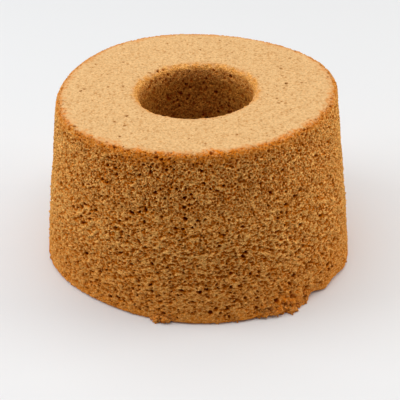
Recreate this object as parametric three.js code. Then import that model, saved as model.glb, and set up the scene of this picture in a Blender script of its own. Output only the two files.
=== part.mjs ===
// A small chiffon cake, turned out of its tin and stood on the side that rose open to the oven.
// The tin's narrow, flat base is uppermost, and the tin's tapered tube has left a hole right through.
// Millimetres, +Z up. The origin is on the surface the cake stands on, under the middle of its outline.
import * as THREE from "three";

// Driving dimensions
const TIN_DIAMETER = 121; // across the tin's open top, where the cake now stands
const HEIGHT = 66;

// The outer wall and the hole, which taper as the tin does
const BASE_RADIUS = TIN_DIAMETER / 2;
const RIM_RADIUS = 0.876 * BASE_RADIUS;
const WALL_BULGE = 0.3; // the soft crumb swells this far past a straight taper, half way up
const HOLE_TOP_RADIUS = 0.365 * BASE_RADIUS;
const HOLE_BASE_RADIUS = 0.31 * BASE_RADIUS;

// Rounded edges
const RIM_ROUND = 1.0; // outer edge of the top
const HOLE_ROUND = 3.0; // the hole's edge at the top
const FOOT_ROUND = 1.2; // both edges of the foot
const CROWN = 0.5; // the top's middle stands this much above its two edges

// How the soft cake strays from round: so many swells, each so far out, the first one at this angle
const RIM_SWELLS = [
  { count: 1, out: 0.9, at: 172 },
  { count: 2, out: 0.2, at: -42 },
  { count: 3, out: 0.9, at: -2 },
  { count: 4, out: 0.6, at: 28 },
];
const FOOT_SWELLS = [
  { count: 2, out: 0.7, at: -46 },
  { count: 3, out: 0.6, at: -44 },
  { count: 4, out: 0.8, at: 34 },
  { count: 5, out: 0.9, at: -26 },
];
const HOLE_SWELLS = [
  { count: 1, out: 1.8, at: -100 },
  { count: 2, out: 0.4, at: 68 },
];
const TOP_LEAN = 0.009; // the top rises this much for each millimetre towards +X

// Where the foot's edge tore as it left the tin: a push out or in, and how far its underside lifts
const TEARS = [
  { at: -60, halfWidth: 10, out: 2.0, lift: 0 },
  { at: -46, halfWidth: 6, out: -1.8, lift: 1.0 },
  { at: -76, halfWidth: 5, out: 0.5, lift: 0.3 },
  { at: -103, halfWidth: 4, out: -0.3, lift: 0.4 },
  { at: -34, halfWidth: 10, out: -1.2, lift: 0.4 },
  { at: 38, halfWidth: 9, out: 1.1, lift: 0 },
  { at: 96, halfWidth: 6, out: -1.1, lift: 1.0 },
  { at: 151, halfWidth: 8, out: 0.9, lift: 0.6 },
];
const TEAR_HEIGHT = 7; // a tear fades out this far up the wall
const TEAR_DEPTH = 5; // and this far in under the foot

// How finely the faceted solid follows the form
const SECTORS = 84;
const WALL_ROWS = 16;
const HOLE_ROWS = 8;
const TOP_ROWS = 5;
const FOOT_ROWS = 3;
const ROUND_ROWS = 3;

const CRUMB_COLOUR = 0xd9a566;

const { lerp, degToRad } = THREE.MathUtils;

// Half way up, a wall that runs from base to top stands out by bulge.
const taper = (base, top, bulge, share) =>
  lerp(base, top, share) + bulge * Math.sin(Math.PI * share);

const wallRadius = (z) =>
  taper(BASE_RADIUS, RIM_RADIUS, WALL_BULGE, z / HEIGHT);

const holeRadius = (z) =>
  taper(HOLE_BASE_RADIUS, HOLE_TOP_RADIUS, 0, z / HEIGHT);

// Points along a quarter turn of an edge, from one angle to another in degrees, without its last point.
function roundedEdge(radius, z, round, from, to) {
  const points = [];
  for (let i = 0; i < ROUND_ROWS; i++) {
    const angle = degToRad(lerp(from, to, i / ROUND_ROWS));
    points.push(
      new THREE.Vector2(
        radius + round * Math.cos(angle),
        z + round * Math.sin(angle),
      ),
    );
  }
  return points;
}

// The cake cut through on one side: round the foot, up the wall, over the top and down the hole.
function sectionOutline() {
  const points = [];
  const footOut = wallRadius(0) - FOOT_ROUND;
  const footIn = holeRadius(0) + FOOT_ROUND;
  const rimOut = wallRadius(HEIGHT) - RIM_ROUND;
  const rimIn = holeRadius(HEIGHT) + HOLE_ROUND;

  for (let i = 0; i < FOOT_ROWS; i++)
    points.push(new THREE.Vector2(lerp(footIn, footOut, i / FOOT_ROWS), 0));
  points.push(...roundedEdge(footOut, FOOT_ROUND, FOOT_ROUND, -90, 0));
  for (let i = 0; i < WALL_ROWS; i++) {
    const z = lerp(FOOT_ROUND, HEIGHT - RIM_ROUND, i / WALL_ROWS);
    points.push(new THREE.Vector2(wallRadius(z), z));
  }
  points.push(...roundedEdge(rimOut, HEIGHT - RIM_ROUND, RIM_ROUND, 0, 90));
  for (let i = 0; i < TOP_ROWS; i++) {
    const share = i / TOP_ROWS;
    const z = HEIGHT + CROWN * Math.sin(Math.PI * share);
    points.push(new THREE.Vector2(lerp(rimOut, rimIn, share), z));
  }
  points.push(...roundedEdge(rimIn, HEIGHT - HOLE_ROUND, HOLE_ROUND, 90, 180));
  for (let i = 0; i < HOLE_ROWS; i++) {
    const z = lerp(HEIGHT - HOLE_ROUND, FOOT_ROUND, i / HOLE_ROWS);
    points.push(new THREE.Vector2(holeRadius(z), z));
  }
  points.push(...roundedEdge(footIn, FOOT_ROUND, FOOT_ROUND, 180, 270));
  points.push(points[0].clone());
  return points;
}

const swell = (swells, angle) =>
  swells.reduce(
    (sum, { count, out, at }) =>
      sum + out * Math.cos(count * (angle - degToRad(at))),
    0,
  );

// A smooth hump: 1 at the middle, 0 from halfWidth outwards.
const hump = (offset, halfWidth) =>
  Math.abs(offset) < halfWidth
    ? Math.cos((0.5 * Math.PI * offset) / halfWidth) ** 2
    : 0;

// How far a tear pushes the foot's edge out and lifts it, at an angle in radians.
function tornEdge(angle) {
  const edge = { out: 0, lift: 0 };
  for (const { at, halfWidth, out, lift } of TEARS) {
    const offset = THREE.MathUtils.euclideanModulo(
      THREE.MathUtils.radToDeg(angle) - at + 180,
      360,
    );
    const share = hump(offset - 180, halfWidth);
    edge.out += out * share;
    edge.lift += lift * share;
  }
  return edge;
}

// Moves a point of the round form to where the soft, torn cake has it.
function soften(point) {
  const angle = Math.atan2(point.y, point.x);
  const radius = Math.hypot(point.x, point.y);
  const share = THREE.MathUtils.clamp(point.z / HEIGHT, 0, 1);
  const inner = holeRadius(point.z);
  const outer = wallRadius(point.z);
  const across = THREE.MathUtils.clamp(
    (radius - inner) / (outer - inner),
    0,
    1,
  );

  const outside = lerp(
    swell(FOOT_SWELLS, angle),
    swell(RIM_SWELLS, angle),
    share,
  );
  const inside = swell(HOLE_SWELLS, angle);
  const { out, lift } = tornEdge(angle);
  const nearFoot = hump(point.z, TEAR_HEIGHT);
  const nearEdge = hump(outer - radius, TEAR_DEPTH);
  const moved =
    radius + lerp(inside, outside, across) + out * nearFoot * nearEdge;

  const x = moved * Math.cos(angle);
  const y = moved * Math.sin(angle);
  const z = point.z + share * TOP_LEAN * x + lift * nearFoot * nearEdge;
  return point.set(x, y, z);
}

function cakeGeometry() {
  const geometry = new THREE.LatheGeometry(sectionOutline(), SECTORS);
  geometry.rotateX(Math.PI / 2);
  const position = geometry.getAttribute("position");
  const point = new THREE.Vector3();
  for (let i = 0; i < position.count; i++) {
    soften(point.fromBufferAttribute(position, i));
    position.setXYZ(i, point.x, point.y, point.z);
  }
  // The origin goes under the middle of the outline, at the foot.
  geometry.computeBoundingBox();
  const box = geometry.boundingBox;
  geometry.translate(
    -(box.min.x + box.max.x) / 2,
    -(box.min.y + box.max.y) / 2,
    -box.min.z,
  );
  geometry.computeVertexNormals();
  return geometry;
}

const cake = new THREE.Mesh(
  cakeGeometry(),
  new THREE.MeshStandardMaterial({
    color: CRUMB_COLOUR,
    roughness: 0.95,
    metalness: 0,
  }),
);
cake.name = "cake";

const chiffonCake = new THREE.Group();
chiffonCake.name = "chiffon_cake";
chiffonCake.add(cake);

export default chiffonCake;
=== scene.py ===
"""A small chiffon cake, turned out of its tin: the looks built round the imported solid.

The cake stands on the side that rose open to the oven. Its wall is torn, open crumb full of small
bubbles, its top is the pale skin that lay on the tin's base, and its foot is the browned edge of the
side that was open. Sizes are millimetres, apart from the studio's, and a mesh is scaled to metres when
its shape is finished.
"""

import logging
import math
from dataclasses import dataclass, field
from enum import Enum
from typing import ClassVar

import bmesh
import bpy
import numpy as np
from mathutils import Euler, Matrix, Vector


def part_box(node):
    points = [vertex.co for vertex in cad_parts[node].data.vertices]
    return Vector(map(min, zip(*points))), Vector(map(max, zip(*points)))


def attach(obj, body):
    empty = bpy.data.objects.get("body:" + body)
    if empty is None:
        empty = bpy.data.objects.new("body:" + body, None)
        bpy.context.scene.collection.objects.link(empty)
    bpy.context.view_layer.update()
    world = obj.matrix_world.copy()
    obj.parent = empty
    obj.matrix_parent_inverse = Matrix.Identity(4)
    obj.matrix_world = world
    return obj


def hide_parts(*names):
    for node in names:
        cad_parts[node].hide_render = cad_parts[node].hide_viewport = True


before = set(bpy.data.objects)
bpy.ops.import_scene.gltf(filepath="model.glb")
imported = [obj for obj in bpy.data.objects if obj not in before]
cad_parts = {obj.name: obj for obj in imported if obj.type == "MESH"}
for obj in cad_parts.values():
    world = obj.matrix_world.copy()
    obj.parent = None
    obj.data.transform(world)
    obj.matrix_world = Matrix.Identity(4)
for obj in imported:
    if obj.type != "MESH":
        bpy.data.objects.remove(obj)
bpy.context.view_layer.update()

MM = 0.001
CLOSE = 0.0001  # points nearer than this many millimetres count as one
FAR = 9.0  # further than any distance between bubbles that counts
NODE = "cake"
BODY = "root"

log = logging.getLogger("chiffon_cake")


# Small numeric helpers

Value = float | np.ndarray


def lerp(low: Value, high: Value, share: Value) -> Value:
    """Returns the value that lies share of the way from low to high."""
    return low + (high - low) * share


def ease(start: float, end: float, value: Value) -> Value:
    """Returns a smooth step from 0 at start to 1 at end, which may be below start."""
    share = np.clip((value - start) / (end - start), 0.0, 1.0)
    return share * share * (3.0 - 2.0 * share)


def hump(offset: Value, half_width: float) -> Value:
    """Returns a smooth hump: 1 where offset is 0, and 0 from half_width outwards."""
    inside = np.abs(offset) < half_width
    return np.where(inside, np.cos(0.5 * np.pi * offset / half_width) ** 2, 0.0)


def around(angle: np.ndarray) -> np.ndarray:
    """Returns angles in radians brought to between half a turn back and half a turn on."""
    return (angle + np.pi) % (2.0 * np.pi) - np.pi


def linear(hex_colour: str) -> tuple[float, float, float, float]:
    """Turns an sRGB hex colour into linear light.

    Args:
        hex_colour: Six hex digits, such as "C08A4C".

    Returns:
        Red, green, blue and an alpha of 1.
    """
    values = [int(hex_colour[i : i + 2], 16) / 255 for i in (0, 2, 4)]
    turned = [v / 12.92 if v <= 0.04045 else ((v + 0.055) / 1.055) ** 2.4 for v in values]
    return (*turned, 1.0)


@dataclass(frozen=True)
class Waves:
    """Soft random undulation through space: a sum of slanted sine waves, the same on every piece.

    Attributes:
        seed: Picks the waves' directions and phases.
        shortest: The shortest wave, in millimetres.
        longest: The longest wave, in millimetres.
        count: How many waves are summed.
        spreads: How many of their standard deviations count as 1.
    """

    seed: int
    shortest: float
    longest: float
    count: int = 12
    spreads: float = 1.6

    def at(self, points: np.ndarray) -> np.ndarray:
        """Evaluates the undulation.

        Args:
            points: Places in millimetres, as rows of x, y and z.

        Returns:
            One value for each place, mostly between -1 and 1.
        """
        random = np.random.default_rng(self.seed)
        total = np.zeros(len(points))
        for length in np.geomspace(self.shortest, self.longest, self.count):
            direction = random.normal(size=3)
            direction /= np.linalg.norm(direction)
            phase = random.uniform(0.0, 2.0 * np.pi)
            total += np.sin(points @ direction * (2.0 * np.pi / length) + phase)
        return total / math.sqrt(0.5 * self.count) / self.spreads


# The cake's form


@dataclass(frozen=True)
class Swell:
    """A slow departure from round.

    Attributes:
        count: How many lobes it has round the cake.
        out: How far they stand out, in millimetres.
        at: The angle of the first one, in degrees.
    """

    count: int
    out: float
    at: float


@dataclass(frozen=True)
class Tear:
    """A place where the foot's edge tore.

    Attributes:
        at: Its angle, in degrees.
        half_width: How far it reaches to each side, in degrees.
        out: How far it is pushed out, or in where that is below 0, in millimetres.
        lift: How far its underside lifts, in millimetres.
    """

    at: float
    half_width: float
    out: float
    lift: float


@dataclass(frozen=True)
class CakeForm:
    """The outer form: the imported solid's, with a softer rim. Angles are in degrees, 0 towards +X.

    Attributes:
        tin_diameter: The width across the tin's open top, where the cake now stands.
        height: The height of the top's two edges.
        rim_share: How wide the rim is for the foot.
        hole_top_share: How wide the hole is at the top for the foot.
        hole_base_share: How wide the hole is underneath for the foot.
        wall_bulge: How far the wall swells past a straight taper, half way up.
        rim_round: The radius that the top's outer edge is rounded to.
        hole_round: The radius that the hole's upper edge is rounded to.
        foot_round: The radius that both edges of the foot are rounded to.
        crown: How far the top's middle stands above its two edges.
        top_lean: How far the top rises for each millimetre towards +X.
        tear_height: How far up the wall a tear reaches.
        tear_depth: How far in under the foot it reaches.
        rim_swells: How the rim strays from round.
        foot_swells: How the foot strays from round.
        hole_swells: How the hole strays from round.
        tears: Where the foot's edge tore, the worst place first.
    """

    tin_diameter: float = 121.0
    height: float = 66.0
    rim_share: float = 0.876
    hole_top_share: float = 0.365
    hole_base_share: float = 0.31
    wall_bulge: float = 0.3
    rim_round: float = 2.0
    hole_round: float = 3.0
    foot_round: float = 1.2
    crown: float = 0.5
    top_lean: float = 0.009
    tear_height: float = 7.0
    tear_depth: float = 5.0
    rim_swells: tuple[Swell, ...] = (
        Swell(1, 0.9, 172), Swell(2, 0.2, -42), Swell(3, 0.9, -2), Swell(4, 0.6, 28),
    )
    foot_swells: tuple[Swell, ...] = (
        Swell(2, 0.7, -46), Swell(3, 0.6, -44), Swell(4, 0.8, 34), Swell(5, 0.9, -26),
    )
    hole_swells: tuple[Swell, ...] = (Swell(1, 1.8, -100), Swell(2, 0.4, 68))
    tears: tuple[Tear, ...] = (
        Tear(-60, 10, 2.0, 0), Tear(-46, 6, -1.8, 1.0), Tear(-76, 5, 0.5, 0.3),
        Tear(-103, 4, -0.3, 0.4), Tear(-34, 10, -1.2, 0.4), Tear(38, 9, 1.1, 0),
        Tear(96, 6, -1.1, 1.0), Tear(151, 8, 0.9, 0.6),
    )

    @property
    def base_radius(self) -> float:
        """The foot's radius."""
        return self.tin_diameter / 2

    def wall_radius(self, z: Value) -> Value:
        """Works out the wall's radius.

        Args:
            z: Heights.

        Returns:
            The radius at each.
        """
        share = np.clip(z / self.height, 0.0, 1.0)
        straight = lerp(self.base_radius, self.rim_share * self.base_radius, z / self.height)
        return straight + self.wall_bulge * np.sin(np.pi * share)

    def hole_radius(self, z: Value) -> Value:
        """Returns the hole's radius at heights z."""
        shares = self.hole_base_share, self.hole_top_share
        return lerp(*shares, z / self.height) * self.base_radius

    def top_height(self, radius: Value) -> Value:
        """Works out the height of the slightly crowned top.

        Args:
            radius: Distances from the axis.

        Returns:
            The height at each.
        """
        inner, outer = self.hole_radius(self.height), self.wall_radius(self.height)
        share = np.clip((radius - inner) / (outer - inner), 0.0, 1.0)
        return self.height + self.crown * np.sin(np.pi * share)

    @staticmethod
    def swell(swells: tuple[Swell, ...], angle: np.ndarray) -> np.ndarray:
        """Returns how far the swells stand out at angles in radians."""
        return sum(s.out * np.cos(s.count * (angle - math.radians(s.at))) for s in swells)

    def soften(self, radius: np.ndarray, angle: np.ndarray, z: np.ndarray) -> np.ndarray:
        """Moves points of the round form to where the soft, torn cake has them.

        Args:
            radius: Distances from the axis.
            angle: Angles in radians.
            z: Heights.

        Returns:
            Rows of x, y and z.
        """
        share = np.clip(z / self.height, 0.0, 1.0)
        inner, outer = self.hole_radius(z), self.wall_radius(z)
        across = np.clip((radius - inner) / (outer - inner), 0.0, 1.0)
        outside = lerp(self.swell(self.foot_swells, angle), self.swell(self.rim_swells, angle), share)
        inside = self.swell(self.hole_swells, angle)
        near = hump(z, self.tear_height) * hump(outer - radius, self.tear_depth)
        out, lift = np.zeros_like(z), np.zeros_like(z)
        for tear in self.tears:
            offset = around(angle - math.radians(tear.at))
            torn = hump(offset, math.radians(tear.half_width))
            out += tear.out * torn
            lift += tear.lift * torn
        moved = radius + lerp(inside, outside, across) + out * near
        x, y = moved * np.cos(angle), moved * np.sin(angle)
        return np.column_stack((x, y, z + share * self.top_lean * x + lift * near))

    def skinned(self, radius: np.ndarray, z: np.ndarray, points: np.ndarray) -> np.ndarray:
        """Works out how far the surface is smooth skin.

        Args:
            radius: Distances from the axis on the round form.
            z: Heights on it.
            points: The places themselves, as rows of x, y and z.

        Returns:
            A share for each place, from 0 to 1.
        """
        # It ends in ragged lines about a millimetre inside the rim and outside the hole's edge.
        reach = radius + 0.9 * Waves(seed=7, shortest=0.8, longest=7.0, count=24).at(points)
        rim, edge = self.wall_radius(self.height), self.hole_radius(self.height)
        across = ease(rim - 0.4, rim - 1.4, reach) * ease(edge + 0.6, edge + 2.2, reach)
        return across * ease(1.6, 0.8, self.height - z)

    def browned(self, radius: np.ndarray, z: np.ndarray, points: np.ndarray) -> np.ndarray:
        """Works out how far the surface is browned: by the tin or the oven, and in two places as painted
        shadow and shade.

        Args:
            radius: Distances from the axis on the round form.
            z: Heights on it.
            points: The places themselves, as rows of x, y and z.

        Returns:
            A share for each place, from 0 to 1.
        """
        ragged = Waves(seed=8, shortest=1.6, longest=12.0, count=18).at(points)
        below = self.height - z
        inside = self.wall_radius(self.height) - radius
        outside = radius - self.hole_radius(self.height)
        # The corner under the rim, most of all at the front, and a line of gold where the skin ends.
        at_rim = ease(4.6, 2.2, below - 1.5 * ragged) * ease(2.0, 0.9, inside - 0.6 * ragged)
        at_rim *= lerp(0.15, 1.0, self.patch(points, at=-100.0, half_width=85.0))
        golden = ease(4.4, 1.2, inside - 1.2 * ragged) * ease(2.6, 0.8, below)
        golden *= lerp(0.5, 1.0, self.patch(points, at=-90.0, half_width=120.0))
        # The hole's upper edge, the foot's edge and the stretch of it that tore worst.
        at_edge = ease(8.0, 2.5, below - ragged) * ease(3.4, 1.0, outside + 0.5 * ragged)
        at_foot = ease(8.0, 1.5, z - 2.0 * ragged) * ease(9.0, 4.0, self.base_radius - radius)
        torn = self.torn(points) * ease(12.0, 6.0, z + 2.0 * ragged)
        # The underside, and the flank beside that stretch, which is a painted shadow with a painted orange
        # glow of reflected light; and faintly the lower half of the wall, drawn browner as painted shade.
        under = ease(0.6, 0.1, z)
        flank_shadow_glow = self.patch(points, at=-35.0, half_width=24.0) * ease(26.0, 8.0, z + 3.0 * ragged)
        low = ease(36.0, 4.0, z + 3.0 * ragged)
        shares = [at_rim, golden, 0.35 * at_edge, 0.9 * at_foot, torn, under, 0.6 * flank_shadow_glow, 0.5 * low]
        return np.maximum.reduce(shares)

    def torn(self, points: np.ndarray) -> np.ndarray:
        """Returns how far a place is in the stretch of the foot that tore worst, from 0 to 1."""
        worst = self.tears[0]
        return self.patch(points, worst.at, 1.4 * worst.half_width)

    @staticmethod
    def patch(points: np.ndarray, at: float, half_width: float) -> np.ndarray:
        """Returns a hump round the cake, 1 at an angle in degrees and 0 from half_width outwards."""
        return hump(np.degrees(np.arctan2(points[:, 1], points[:, 0])) - at, half_width)

    def hole_shade_share(self, radius: np.ndarray, z: np.ndarray) -> np.ndarray:
        """Returns the share of painted shade down the hole, where the surface lay against the tin's tube, 0
        to 1.

        Args:
            radius: Distances from the axis on the round form.
            z: Heights on it.
        """
        return ease(1.0, 8.0, self.height - z) * ease(3.0, 1.0, radius - self.hole_radius(z))

    def centre(self) -> np.ndarray:
        """Finds the middle of the soft outline.

        Returns:
            How far it lies from the axis, in x and y.
        """
        angle = np.linspace(-np.pi, np.pi, 1441)
        rings = [
            self.soften(np.full_like(angle, self.wall_radius(z)), angle, np.full_like(angle, z))
            for z in (self.foot_round, 0.5 * self.height)
        ]
        points = np.concatenate(rings)
        return 0.5 * (points.min(0) + points.max(0))[:2]


# The section of each piece, cut through on one side


def rounded(corner: Vector, into: Vector, out_of: Vector, radius: float, step: float) -> list[Vector]:
    """Rounds a section's corner with an arc that meets both of its sides smoothly.

    Args:
        corner: The sharp corner, as radius and height.
        into: The direction of travel towards the corner.
        out_of: The direction of travel away from it.
        radius: The arc's radius.
        step: The distance between points on the arc.

    Returns:
        Points along the arc.
    """
    into, out_of = into.normalized(), out_of.normalized()
    turn = into.angle_signed(out_of)
    reach = radius * math.tan(abs(turn) / 2)
    start = corner - into * reach
    count = max(2, round(radius * abs(turn) / step))
    points = []
    heading, place = into.copy(), start.copy()
    arc_step = radius * abs(turn) / count
    for _ in range(count):
        points.append(place.copy())
        half = Matrix.Rotation(-turn / count / 2, 2)
        heading = half @ heading
        place += heading * arc_step
        heading = half @ heading
    return points


@dataclass
class Section:
    """A closed outline that is turned round the axis: first the stretch that shows, then the hidden one.

    Attributes:
        shown: Points of the stretch that shows, evenly spaced.
        hidden: Points of the stretch inside the cake.
        along: How far along the outline each point is.
        out: The outward direction at each point.
    """

    shown: np.ndarray
    hidden: np.ndarray
    along: np.ndarray = field(init=False)
    out: np.ndarray = field(init=False)

    def __post_init__(self) -> None:
        """Works out the way along the outline and the outward directions."""
        points = np.concatenate((self.shown, self.hidden))
        steps = np.linalg.norm(np.diff(points, axis=0), axis=1)
        self.along = np.concatenate(([0.0], np.cumsum(steps)))
        ahead = np.roll(points, -1, axis=0) - np.roll(points, 1, axis=0)
        ahead /= np.linalg.norm(ahead, axis=1, keepdims=True)
        self.out = np.column_stack((ahead[:, 1], -ahead[:, 0]))

    @property
    def points(self) -> np.ndarray:
        """All points, as rows of radius and height."""
        return np.concatenate((self.shown, self.hidden))

    def at(self, along: np.ndarray) -> tuple[np.ndarray, np.ndarray]:
        """Returns the radius and the height of places so far along the outline."""
        radius, z = self.points.T
        return np.interp(along, self.along, radius), np.interp(along, self.along, z)

    @property
    def length(self) -> float:
        """How long the stretch that shows is."""
        return float(self.along[len(self.shown) - 1])


def evenly(points: list[Vector], pitch: float) -> np.ndarray:
    """Spaces points evenly along the line that they draw.

    Args:
        points: Points as radius and height.
        pitch: The wanted distance.

    Returns:
        Rows of radius and height.
    """
    line = np.array([tuple(p) for p in points])
    along = np.concatenate(([0.0], np.cumsum(np.linalg.norm(np.diff(line, axis=0), axis=1))))
    places = np.linspace(0.0, along[-1], round(along[-1] / pitch) + 1)
    return np.column_stack([np.interp(places, along, line[:, i]) for i in (0, 1)])


# The bubbles of the crumb


class Shape(Enum):
    """Which way bubbles are drawn out: how many times as long as high they are."""

    ROUND = 1.0
    LYING = 1.8


@dataclass(frozen=True)
class Bubbles:
    """One size of bubble in the crumb, in millimetres.

    Attributes:
        radius: The smallest and largest radius.
        tries: How many are tried on each square centimetre, of which those with room are kept.
        depth: How deep one is for its radius.
        room: The share of its radius that has to be free of earlier ones.
        floor: How much of its width is flat bottom.
    """

    radius: tuple[float, float]
    tries: float
    depth: float
    room: float = 0.8
    floor: float = 0.3


@dataclass(frozen=True)
class Foam:
    """The close-packed small bubbles that make up the crumb, cut through by its surface.

    Attributes:
        cell: The distance from one bubble's middle to the next one's, in millimetres.
        shape: Which way they are drawn out.
        wall: How far the slope of the wall between two bubbles reaches, as a share of a cell.
        depth: How deep the most open ones are, in millimetres.
        closed: How deep the least open ones are, as a share of that.
        seed: Seeds their places.
    """

    cell: float
    shape: Shape
    wall: float
    depth: float
    closed: float
    seed: int

    def hollows(self, points: np.ndarray) -> np.ndarray:
        """Works out how deep the bubbles are cut at places on the surface.

        Args:
            points: The places in millimetres, as rows of x, y and z.

        Returns:
            A depth in millimetres for each.
        """
        drawn = math.sqrt(self.shape.value)
        grid = points / self.cell * np.array([1.0 / drawn, 1.0 / drawn, drawn])
        base = np.floor(grid).astype(int)
        lowest = base.min(axis=0) - 1
        luck = np.random.default_rng(self.seed).uniform(size=(*(base.max(axis=0) - lowest + 2), 4))
        nearest, second, opened = np.full((3, len(grid)), FAR)
        for step in np.ndindex(3, 3, 3):
            cell = base + np.array(step) - 1
            drawn_here = luck[tuple((cell - lowest).T)]
            away = np.linalg.norm(cell + drawn_here[:, :3] - grid, axis=1)
            closer = away < nearest
            second = np.where(closer, nearest, np.minimum(second, away))
            nearest = np.where(closer, away, nearest)
            opened = np.where(closer, drawn_here[:, 3], opened)
        # Steep at the walls and flat in the middle, so that the walls stand as thin ridges.
        bowl = 1.0 - (1.0 - np.clip((second - nearest) / self.wall, 0.0, 1.0)) ** 2
        return self.depth * lerp(self.closed, 1.0, opened**1.5) * bowl


@dataclass(frozen=True)
class Bubble:
    """One bubble that is opened in a relief, in millimetres.

    Attributes:
        row: Its row.
        column: Its column.
        shift: How far its middle lies from the cell's, in cells.
        radius: Its radius.
        depth: Its depth.
        floor: The share of its width that is flat bottom.
        drawn: How many times as long as high it is.
        turn: How far it is turned from lying, in radians.
        lobes: How strongly its outline strays from round, in two, three and four lobes.
        phases: Where those lobes are.
    """

    row: int
    column: int
    shift: np.ndarray
    radius: float
    depth: float
    floor: float
    drawn: float
    turn: float
    lobes: np.ndarray
    phases: np.ndarray


class Relief:
    """The hollows of one piece's surface, drawn on the surface rolled out flat."""

    # How bubbles of one size differ: most are small, and each is turned, lobed, deep and long by chance.
    MOST_SMALL = 1.7
    TURNED = 0.5
    LOBED = 0.13
    DEEP = (0.75, 1.2)
    LONG = (0.85, 1.3)

    def __init__(self, section: Section, sectors: int, seed: int) -> None:
        """Starts with no bubbles.

        Args:
            section: The piece's outline.
            sectors: How many columns go round.
            seed: Seeds the bubbles' places and shapes.
        """
        self.section = section
        self.sectors = sectors
        self.rows = len(section.shown)
        self.pitch = section.length / (self.rows - 1)
        self.depth = np.zeros((self.rows, sectors))
        self.gap = np.full((self.rows, sectors), FAR)
        self.random = np.random.default_rng(seed)

    def places(self) -> tuple[np.ndarray, np.ndarray, np.ndarray]:
        """Finds where the cells are on the round form.

        Returns:
            Each one's radius, angle and height.
        """
        angle = (np.arange(self.sectors) / self.sectors * 2.0 - 1.0) * np.pi
        radius = np.repeat(self.section.shown[:, :1], self.sectors, axis=1)
        height = np.repeat(self.section.shown[:, 1:], self.sectors, axis=1)
        return radius, np.broadcast_to(angle, radius.shape), height

    def cells(self) -> np.ndarray:
        """Finds where the cells are in space.

        Returns:
            Rows of x, y and z.
        """
        radius, angle, height = self.places()
        return np.column_stack(
            ((radius * np.cos(angle)).ravel(), (radius * np.sin(angle)).ravel(), height.ravel())
        )

    def noise(self, shortest: float, longest: float, shape: Shape, seed: int) -> np.ndarray:
        """Makes unevenness that is as strong at every width from the shortest to the longest.

        Args:
            shortest: The shortest wave, in millimetres.
            longest: The longest wave, in millimetres.
            shape: Which way it is drawn out.
            seed: Seeds it.

        Returns:
            For each cell a value round 0, in standard deviations.
        """
        white = np.random.default_rng(seed).normal(size=self.depth.shape)
        arc = 2.0 * np.pi * self.section.shown[:, 0].mean() / self.sectors
        drawn = math.sqrt(shape.value)
        up = np.fft.fftfreq(self.rows, self.pitch)[:, None] / drawn
        across = np.fft.rfftfreq(self.sectors, arc)[None, :] * drawn
        rate = np.maximum(np.hypot(up, across), 1e-6)
        band = ease(0.6 / longest, 1.3 / longest, rate) * ease(1.25 / shortest, 0.8 / shortest, rate)
        noise = np.fft.irfft2(np.fft.rfft2(white) * band / rate, s=self.depth.shape)
        return noise / noise.std()

    def blow(self, bubbles: Bubbles, chance: np.ndarray, scale: Value = 1.0, lying: Value = 0.0) -> int:
        """Opens bubbles of one size wherever there is still room for them.

        Args:
            bubbles: Their sizes.
            chance: For each cell, how likely a try there is kept.
            scale: For each cell, how large they are for their size.
            lying: For each cell, 0 for round bubbles and 1 for ones that lie drawn out.

        Returns:
            How many were opened.
        """
        area = 2.0 * np.pi * self.section.shown[:, 0] * self.pitch
        tries = round(bubbles.tries * area.sum() / 100.0)
        row = self.random.choice(self.rows, tries, p=area / area.sum())
        column = self.random.integers(0, self.sectors, tries)
        likely, scaled, flat = (
            np.broadcast_to(chart, self.depth.shape)[row, column] for chart in (chance, scale, lying)
        )
        shift = self.random.uniform(-0.5, 0.5, (tries, 2))
        radius = lerp(*bubbles.radius, self.random.uniform(0.0, 1.0, tries) ** self.MOST_SMALL) * scaled
        kept = self.random.uniform(0.0, 1.0, tries) < likely
        turn = self.random.normal(0.0, self.TURNED, tries)
        lobes = self.random.normal(0.0, self.LOBED, (tries, 3))
        phases = self.random.uniform(0.0, 2.0 * np.pi, (tries, 3))
        depth = self.random.uniform(*self.DEEP, tries) * bubbles.depth * radius
        drawn = lerp(Shape.ROUND.value, Shape.LYING.value, flat) * self.random.uniform(*self.LONG, tries)
        opened = 0
        for i in np.argsort(-radius):
            if kept[i] and self.gap[row[i], column[i]] >= bubbles.room * radius[i]:
                self.open_one(Bubble(
                    row[i], column[i], shift[i], radius[i], depth[i], bubbles.floor, drawn[i], turn[i],
                    lobes[i], phases[i],
                ))
                opened += 1
        return opened

    def open_one(self, bubble: Bubble) -> None:
        """Sinks one bubble into the relief, and notes the room that is left round it.

        Args:
            bubble: The bubble.
        """
        arc = 2.0 * np.pi * self.section.shown[bubble.row, 0] / self.sectors
        # Lobes reach past its radius, and the room round it counts a little further out.
        reach = bubble.radius * bubble.drawn * 1.4 + 0.9
        up, across = int(reach / self.pitch) + 1, int(reach / arc) + 1
        rows = np.arange(max(0, bubble.row - up), min(self.rows, bubble.row + up + 1))
        columns = np.arange(bubble.column - across, bubble.column + across + 1)
        y = ((rows - bubble.row - bubble.shift[0]) * self.pitch)[:, None]
        x = ((columns - bubble.column - bubble.shift[1]) * arc)[None, :]
        cosine, sine = math.cos(bubble.turn), math.sin(bubble.turn)
        u = (x * cosine + y * sine) / math.sqrt(bubble.drawn)
        v = (y * cosine - x * sine) * math.sqrt(bubble.drawn)
        distance, bearing = np.hypot(u, v), np.arctan2(v, u)
        outline = 1.0
        for count, (lobe, phase) in enumerate(zip(bubble.lobes, bubble.phases), start=2):
            outline = outline + lobe * np.cos(count * bearing + phase)
        edge = bubble.radius * outline
        sunk = bubble.depth * (1.0 - ease(bubble.floor, 1.1, distance / edge))
        place = np.ix_(rows, columns % self.sectors)
        self.depth[place] = np.maximum(self.depth[place], sunk)
        self.gap[place] = np.minimum(self.gap[place], distance - edge)

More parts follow.
